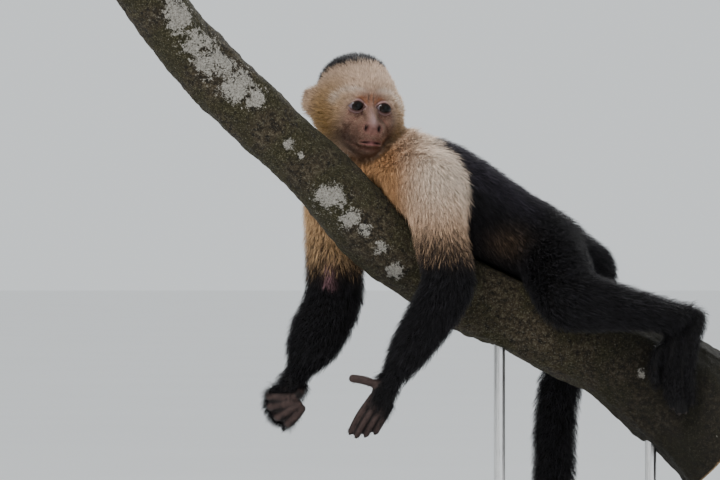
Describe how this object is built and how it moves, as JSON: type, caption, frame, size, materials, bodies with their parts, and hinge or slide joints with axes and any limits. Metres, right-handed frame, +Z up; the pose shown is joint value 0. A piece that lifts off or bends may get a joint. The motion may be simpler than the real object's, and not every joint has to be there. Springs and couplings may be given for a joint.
{
  "type": "capuchin monkey display model",
  "caption": "Still life-size white-faced capuchin monkey lying draped over a cut length of branch, arms hanging and face turned to the viewer, held by a plain stand.",
  "frame": {"origin": "centre of the stand base's underside", "axes": "+Z up; -X towards the monkey's head and the branch's thin upper end; -Y the monkey's left side, which faces the viewer"},
  "size_m": [0.5957, 0.2877, 0.6341],
  "materials": {
    "fur_cream": "dense short fur, cream to tan and golden, lightest on the outer shoulder",
    "fur_black": "dense black fur with a soft grey-violet sheen on the back",
    "bare_skin": "dark brown-purple bare skin with fine creases and short dark hair on the back of it",
    "eye_brown": "wet glossy eyeball with a dark brown iris and black pupil",
    "bark": "rough mottled brown and olive bark with moss and pale grey lichen patches",
    "stand_paint": "satin dark lacquer",
    "rod_steel": "fine brushed steel"
  },
  "bodies": {
    "root": {"head": "fur_cream", "ear_left": "fur_cream", "ear_right": "fur_cream", "eye_left": "eye_brown", "eye_right": "eye_brown", "neck": "fur_cream", "chest": "fur_black", "abdomen": "fur_black", "pelvis": "fur_black", "upper_arm_left": "fur_cream", "upper_arm_right": "fur_cream", "forearm_left": "fur_black", "forearm_right": "fur_black", "hand_left": "bare_skin", "hand_right": "bare_skin", "thigh_left": "fur_black", "thigh_right": "fur_black", "shank_left": "fur_black", "shank_right": "fur_black", "foot_left": "bare_skin", "foot_right": "bare_skin", "tail_1": "fur_black", "tail_2": "fur_black", "tail_3": "fur_black", "tail_4": "fur_black", "perch_branch": "bark", "stand_base": "stand_paint", "stand_rod_front": "rod_steel", "stand_rod_rear": "rod_steel"}
  },
  "joints": []
}
